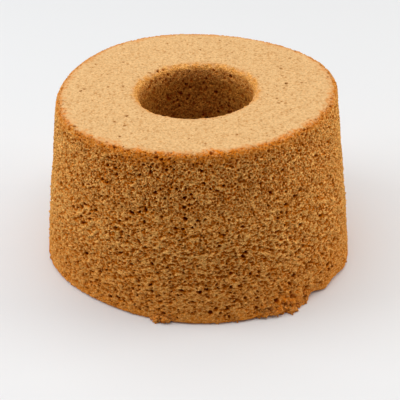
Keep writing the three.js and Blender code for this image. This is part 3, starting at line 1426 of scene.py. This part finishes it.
@dataclass(frozen=True)
class ChiffonFinish:
    """Baked chiffon sponge: egg-white foam set by the oven, torn open on the wall and skinned on top.

    It is dull all over. The eye sees light strands round dark little bubbles on the wall, a paler and
    smoother skin on top, and orange-brown where the tin browned an edge. Real crumb has still finer
    bubbles, too fine to show, so its finest grain is drawn as coarse as it needs to be. Much of the
    dark in the bubbles, in the skin's pits, between the grains and down the hole is painted shade.

    Attributes:
        strand: The colour of a strand of crumb.
        shaded: The colour just inside a bubble, painted shade darker than a strand.
        bubble: The colour deep in a bubble, painted shade darker still.
        between: The painted shade that darkens the crumb between its finest grains.
        skin: The colour of the pale skin.
        speck_and_pit_shade: The colour of the skin's specks, and the painted shade in its fine pits.
        tube: The painted shade that darkens the side that lay against the tin's tube, down the hole.
        browned: The colour of a browned edge.
        scorch_and_pit_shade: The colour of the browned edge's dark specks, and the painted shade deep in its
            bubbles.
        roughness: How dull it is.
        sheen: How much it shines, which open crumb hardly does.
        bubble_depth: How deep a bubble is where it is at its darkest, in millimetres.
        grain: The size of the finest grain of the crumb, in millimetres.
        pore: The size of fine pores, in millimetres.
        cell: The distance between the finest bubbles, in millimetres.
        patch: The size of paler and darker patches, in millimetres.
        speck: The distance between the skin's specks, in millimetres.
        settled: Up to this height, in millimetres, the bubbles are pressed flatter.
        pressed: How much flatter.
        bump: How high the strands stand, in millimetres.
    """

    strand: str = "FFC270"
    shaded: str = "D4740A"
    bubble: str = "822C00"
    between: str = "AE9E7E"
    skin: str = "E7BC85"
    speck_and_pit_shade: str = "B87A38"
    tube: str = "B6A47E"
    browned: str = "EA8620"
    scorch_and_pit_shade: str = "984004"
    roughness: float = 0.9
    sheen: float = 0.02
    bubble_depth: float = 1.0
    grain: float = 0.65
    pore: float = 1.0
    cell: float = 0.9
    patch: float = 3.5
    speck: float = 1.9
    settled: float = 46.0
    pressed: float = 0.8
    bump: float = 0.3

    def material(self) -> bpy.types.Material:
        """Builds the material, which reads what the pieces' points are marked with.

        Returns:
            The material.
        """
        material = bpy.data.materials.new("chiffon_crumb")
        material.use_nodes = True
        tree = material.node_tree
        tree.nodes.clear()
        patterns = self.patterns(tree)
        crumb, skin = self.crumb(tree, patterns), self.pale_skin(tree, patterns)
        surfaces = {"Factor": patterns.skin, "A": crumb, "B": skin}
        baked = add(tree, "Mix", surfaces, "Result", data_type="RGBA")
        toasted = self.brown(tree, patterns, baked)
        # Painted shade darkens the side down the hole, the more the deeper it lies.
        darker = {"Factor": patterns.tube, "A": toasted, "B": linear(self.tube)}
        colour = add(tree, "Mix", darker, "Result", data_type="RGBA", blend_type="MULTIPLY")
        raised = {"Height": self.relief(tree, patterns), "Strength": 1.0, "Distance": self.bump * MM}
        shader = add(tree, "BsdfPrincipled", {
            "Base Color": colour, "Roughness": self.roughness, "Specular IOR Level": self.sheen,
            "Normal": add(tree, "Bump", raised),
        })
        add(tree, "OutputMaterial", {"Surface": shader})
        return material

    def patterns(self, tree: bpy.types.NodeTree) -> Patterns:
        """Adds the marks and the patterns that the colours are mixed from.

        Args:
            tree: The node tree.

        Returns:
            Their sockets.
        """
        sockets = {
            name: add(tree, "Attribute", {}, "Fac", attribute_name=name)
            for name in ("hollow", "skin", "browned", "tube")
        }
        # The cake's weight pressed the bubbles flatter lower down.
        place = add(tree, "TexCoord", {}, "Object")
        height = add(tree, "SeparateXYZ", {"Vector": place}, "Z")
        low = add(tree, "Math", {0: height, 1: self.settled * MM}, operation="MINIMUM")
        more = add(tree, "Math", {0: low, 1: self.pressed}, operation="MULTIPLY")
        lifted = add(tree, "CombineXYZ", {"Z": more})
        pressed = add(tree, "VectorMath", {0: place, 1: lifted}, operation="ADD")
        # The bubbles' walls bend, as the place they are read at is shaken.
        wobble = {"Vector": place, "Scale": 1 / (2.0 * self.cell * MM), "Detail": 1.0, "Roughness": 0.6}
        shake = add(tree, "TexNoise", wobble, "Color")
        reach = (0.8 * self.cell * MM,) * 3
        bent = add(tree, "VectorMath", {0: shake, 1: reach, 2: pressed}, operation="MULTIPLY_ADD")
        cells = {"Vector": bent, "Scale": 1 / (self.cell * MM)}
        walls = add(tree, "TexVoronoi", cells, "Distance", feature="DISTANCE_TO_EDGE")
        strand = add(
            tree, "MapRange",
            {"Value": walls, "From Min": 0.02, "From Max": 0.24, "To Min": 1.0, "To Max": 0.0},
            interpolation_type="SMOOTHSTEP",
        )
        # For each noise: where it is read, how far apart its lumps are, and how many times it gets finer.
        noises = {
            "grain": (pressed, self.grain, 1.0),
            "pores": (pressed, self.pore, 1.0),
            "patches": (place, self.patch, 2.0),
        }
        for name, (where, size, detail) in noises.items():
            wanted = {"Vector": where, "Scale": 1 / (size * MM), "Detail": detail, "Roughness": 0.6}
            sockets[name] = add(tree, "TexNoise", wanted, "Fac")
        return Patterns(**sockets, strand=strand, prick=self.pricks(tree, bent))

    def pricks(self, tree: bpy.types.NodeTree, place: bpy.types.NodeSocket) -> bpy.types.NodeSocket:
        """Adds soft round specks, some of them too faint to see, where bubbles burst under the skin.

        Args:
            tree: The node tree.
            place: Where they are read at.

        Returns:
            How far a place is in a speck, from 0 to 1.
        """
        away = add(tree, "TexVoronoi", {"Vector": place, "Scale": 1 / (self.speck * MM)}, "Distance")
        luck = away.node.outputs["Color"]
        near = {"Value": away, "From Min": 0.46, "From Max": 0.14}
        speck = add(tree, "MapRange", near, interpolation_type="SMOOTHSTEP")
        shows = add(tree, "MapRange", {"Value": luck, "From Min": 0.36, "From Max": 0.68})
        return add(tree, "Math", {0: speck, 1: shows}, operation="MULTIPLY")

    def relief(self, tree: bpy.types.NodeTree, patterns: Patterns) -> bpy.types.NodeSocket:
        """Raises the strands and the grain: full on the wall, less in the hole and on the skin.

        Args:
            tree: The node tree.
            patterns: What the colours are mixed from.

        Returns:
            The height, in shares of the bump.
        """
        rough = add(tree, "Math", {0: patterns.grain, 1: 0.7, 2: patterns.strand}, operation="MULTIPLY_ADD")
        on_skin = add(tree, "MapRange", {"Value": patterns.skin, "To Min": 1.0, "To Max": 0.22})
        in_hole = add(tree, "MapRange", {"Value": patterns.tube, "To Min": 1.0, "To Max": 0.3})
        softer = add(tree, "Math", {0: on_skin, 1: in_hole}, operation="MULTIPLY")
        return add(tree, "Math", {0: rough, 1: softer}, operation="MULTIPLY")

    def crumb(self, tree: bpy.types.NodeTree, patterns: Patterns) -> bpy.types.NodeSocket:
        """Colours torn crumb: light strands, darker towards the bottom of each bubble as painted shade.

        Args:
            tree: The node tree.
            patterns: What it is mixed from.

        Returns:
            The colour.
        """
        depth = add(tree, "MapRange", {"Value": patterns.hollow, "From Max": self.bubble_depth}, clamp=False)
        # The finest bubbles darken it a little more, also as painted shade, though hardly against the tube.
        uneven = add(tree, "Math", {0: patterns.pores, 1: 0.4, 2: -0.1}, operation="MULTIPLY_ADD")
        finer = add(tree, "Math", {0: patterns.strand, 1: -0.3, 2: uneven}, operation="MULTIPLY_ADD")
        lively = add(tree, "MapRange", {"Value": patterns.tube, "To Min": 1.0, "To Max": 0.35})
        deeper = add(tree, "Math", {0: finer, 1: lively, 2: depth}, operation="MULTIPLY_ADD")
        # Painted shade: the deeper the place lies, the more it turns from the strand's colour to shaded and
        # on to bubble.
        shallow = {"Value": deeper, "From Min": -0.1, "From Max": 0.55}
        first = add(tree, "MapRange", shallow, interpolation_type="SMOOTHSTEP")
        deep = {"Value": deeper, "From Min": 0.55, "From Max": 1.5}
        second = add(tree, "MapRange", deep, interpolation_type="SMOOTHSTEP")
        open_side = {"Factor": first, "A": linear(self.strand), "B": linear(self.shaded)}
        upper = add(tree, "Mix", open_side, "Result", data_type="RGBA")
        whole = {"Factor": second, "A": upper, "B": linear(self.bubble)}
        crumb = add(tree, "Mix", whole, "Result", data_type="RGBA")
        # Between the grains the crumb is darker and also browner, as light passes through more of it: painted
        # shade where the grain's bump lies low.
        raised = add(tree, "MapRange", {"Value": patterns.grain, "From Min": 0.3, "From Max": 0.7})
        tints = {"Factor": raised, "A": linear(self.between), "B": linear("FFFFFF")}
        grain_shade_tint = add(tree, "Mix", tints, "Result", data_type="RGBA")
        # These paler and darker patches also bring the whole crumb up to its brightness.
        patchy = add(
            tree, "MapRange",
            {"Value": patterns.patches, "From Min": 0.3, "From Max": 0.7, "To Min": 1.34, "To Max": 1.50},
        )
        tinted = add(tree, "VectorMath", {0: crumb, 1: grain_shade_tint}, operation="MULTIPLY")
        return add(tree, "VectorMath", {0: tinted, "Scale": patchy}, operation="SCALE")

    def pale_skin(self, tree: bpy.types.NodeTree, patterns: Patterns) -> bpy.types.NodeSocket:
        """Colours the skin: pale, mottled with orange-brown specks, and darker in its fine pits as painted
        shade.

        Args:
            tree: The node tree.
            patterns: What it is mixed from.

        Returns:
            The colour.
        """
        hollow, pores, patches, grain = patterns.hollow, patterns.pores, patterns.patches, patterns.grain
        # Fine pits take the darker colour, as painted shade.
        pit = add(tree, "MapRange", {"Value": hollow, "From Min": 0.02, "From Max": 0.35, "To Max": 0.85})
        speck = add(tree, "MapRange", {"Value": pores, "From Min": 0.5, "From Max": 0.72, "To Max": 0.6})
        mottle = add(tree, "MapRange", {"Value": patches, "From Min": 0.38, "From Max": 0.66, "To Max": 0.16})
        burst = add(tree, "Math", {0: patterns.prick, 1: 0.48, 2: mottle}, operation="MULTIPLY_ADD")
        spot = add(tree, "Math", {0: pit, 1: speck}, operation="MAXIMUM")
        dark = add(tree, "Math", {0: spot, 1: burst}, operation="MAXIMUM")
        tones = {"Factor": dark, "A": linear(self.skin), "B": linear(self.speck_and_pit_shade)}
        skin = add(tree, "Mix", tones, "Result", data_type="RGBA")
        # Its grain is lighter and darker, and a deep pit is darker still in painted shade.
        bright = add(
            tree, "MapRange",
            {"Value": grain, "From Min": 0.3, "From Max": 0.7, "To Min": 0.88, "To Max": 1.13},
        )
        deep = add(
            tree, "MapRange",
            {"Value": hollow, "From Min": 0.35, "From Max": 0.9, "To Min": 1.0, "To Max": 0.35},
        )
        shade = add(tree, "Math", {0: bright, 1: deep}, operation="MULTIPLY")
        return add(tree, "VectorMath", {0: skin, "Scale": shade}, operation="SCALE")

    def brown(
        self, tree: bpy.types.NodeTree, patterns: Patterns, colour: bpy.types.NodeSocket
    ) -> bpy.types.NodeSocket:
        """Browns the edges, in specks that the tin or the oven caught more or less, darker deep in a bubble
        as painted shade.

        Args:
            tree: The node tree.
            patterns: What it is mixed from.
            colour: The colour before browning.

        Returns:
            The colour.
        """
        speckle = add(tree, "MapRange", {"Value": patterns.grain, "From Min": 0.51, "From Max": 0.69})
        # Deep in a bubble the browned edge takes the dark colour as well, as painted shade.
        pit = {"Value": patterns.hollow, "From Min": 0.25, "From Max": self.bubble_depth}
        dark = add(tree, "Math", {0: speckle, 1: add(tree, "MapRange", pit)}, operation="MAXIMUM")
        tones = {"Factor": dark, "A": linear(self.browned), "B": linear(self.scorch_and_pit_shade)}
        toast = add(tree, "Mix", tones, "Result", data_type="RGBA")
        patchy = add(
            tree, "MapRange",
            {"Value": patterns.pores, "From Min": 0.38, "From Max": 0.6, "To Min": 0.5, "To Max": 1.0},
        )
        share = add(tree, "Math", {0: patterns.browned, 1: patchy}, operation="MULTIPLY")
        return add(tree, "Mix", {"Factor": share, "A": colour, "B": toast}, "Result", data_type="RGBA")


# The studio


@dataclass(frozen=True)
class Lamp:
    """A soft rectangular light that looks at the cake.

    Attributes:
        name: Its name.
        place: Where it hangs, in metres.
        size: How wide and how high it is, in metres.
        power: Its power in watts.
        colour: Its colour.
    """

    name: str
    place: tuple[float, float, float]
    size: tuple[float, float]
    power: float
    colour: str

    def build(self, target: Vector) -> None:
        """Hangs the light and turns it towards the target.

        Args:
            target: The place that it looks at, in metres.
        """
        light = bpy.data.lights.new(self.name, "AREA")
        light.shape = "RECTANGLE"
        light.size, light.size_y = self.size
        light.energy = self.power
        light.color = linear(self.colour)[:3]
        lamp = bpy.data.objects.new(self.name, light)
        lamp.location = self.place
        lamp.rotation_euler = (target - Vector(self.place)).to_track_quat("-Z", "Y").to_euler()
        bpy.context.scene.collection.objects.link(lamp)


@dataclass(frozen=True)
class Studio:
    """A plain pale floor, soft light and the camera, in metres and degrees.

    Attributes:
        floor_size: How long and how wide the floor is.
        floor_drop: How far it lies under the cake, so that the two are never in one plane.
        floor_roughness: How dull its paint is.
        floor_colour: The paint's colour.
        air_colour: The colour of the faint even light.
        air_strength: How strong that light is.
        lamps: The soft lights.
        lens: The camera's focal length, in millimetres.
        camera_place: Where the camera stands.
        camera_pitch: How far down it looks.
        camera_roll: How far it is turned about its line of sight.
    """

    floor_size: float = 6.0
    floor_drop: float = 0.0001
    floor_roughness: float = 0.8
    floor_colour: str = "E6E7EA"
    air_colour: str = "E6EAF0"
    air_strength: float = 0.25
    lamps: tuple[Lamp, ...] = (
        Lamp("window_above", (-0.05, 0.03, 1.15), (1.6, 1.4), 13.4, "FFFDF8"),
        Lamp("window_left", (-0.95, 0.05, 0.35), (0.6, 0.7), 5.3, "F8FBFC"),
        Lamp("window_right", (0.95, 0.05, 0.30), (0.6, 0.6), 4.5, "FFFBF2"),
    )
    lens: float = 96.9
    camera_place: tuple[float, float, float] = (0.00116, -0.36806, 0.24265)
    camera_pitch: float = 31.6
    camera_roll: float = -1.2

    def build(self) -> None:
        """Sets the studio up round the cake."""
        bpy.context.scene.view_settings.view_transform = "Standard"
        self.lay_floor()
        self.fill_air()
        low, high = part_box(NODE)
        for lamp in self.lamps:
            lamp.build((low + high) / 2)
        self.stand_camera()

    def lay_floor(self) -> None:
        """Lays the painted floor, just under the cake."""
        bm = bmesh.new()
        bmesh.ops.create_grid(bm, x_segments=1, y_segments=1, size=self.floor_size / 2)
        bmesh.ops.translate(bm, verts=bm.verts, vec=(0.0, 0.0, -self.floor_drop))
        floor = stood(shaped(bm, "floor"))
        paint = bpy.data.materials.new("pale_matt_paint")
        paint.use_nodes = True
        shader = paint.node_tree.nodes["Principled BSDF"]
        shader.inputs["Base Color"].default_value = linear(self.floor_colour)
        shader.inputs["Roughness"].default_value = self.floor_roughness
        floor.data.materials.append(paint)

    def fill_air(self) -> None:
        """Fills the room with faint even light."""
        world = bpy.data.worlds.new("studio_air")
        world.use_nodes = True
        air = world.node_tree.nodes["Background"]
        air.inputs["Color"].default_value = linear(self.air_colour)
        air.inputs["Strength"].default_value = self.air_strength
        bpy.context.scene.world = world

    def stand_camera(self) -> None:
        """Stands the camera in front of the cake, looking down at it."""
        data = bpy.data.cameras.new("camera")
        data.lens = self.lens
        camera = bpy.data.objects.new("camera", data)
        camera.location = self.camera_place
        tilt = Euler((math.radians(90.0 - self.camera_pitch), 0.0, 0.0)).to_matrix()
        roll = Matrix.Rotation(math.radians(self.camera_roll), 3, "Z")
        camera.rotation_euler = (tilt @ roll).to_euler()
        bpy.context.scene.collection.objects.link(camera)
        bpy.context.scene.camera = camera


def main() -> None:
    """Builds the cake piece by piece and reports each."""
    logging.basicConfig(level=logging.INFO, format="%(name)s: %(message)s")
    form = CakeForm()
    crumb = ChiffonFinish().material()
    wall = CrumbWall(form, crumb, "crumb_wall", pitch=0.27, sectors=1280, arcs=4, most_faces=196000, seed=11)
    heart = Heart(form, crumb, "skin_and_hole", pitch=0.30, sectors=1000, arcs=1, most_faces=150000, seed=12)
    parts = wall, heart, Crumbs(wall, "clinging_crumbs", seed=13)
    pieces = [piece for part in parts for piece in part.build()]
    for piece in pieces:
        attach(piece, BODY)
        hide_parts(NODE)
        log.info("%s: %d faces", piece.name, len(piece.data.polygons))
    Studio().build()


if __name__ == "__main__":
    main()
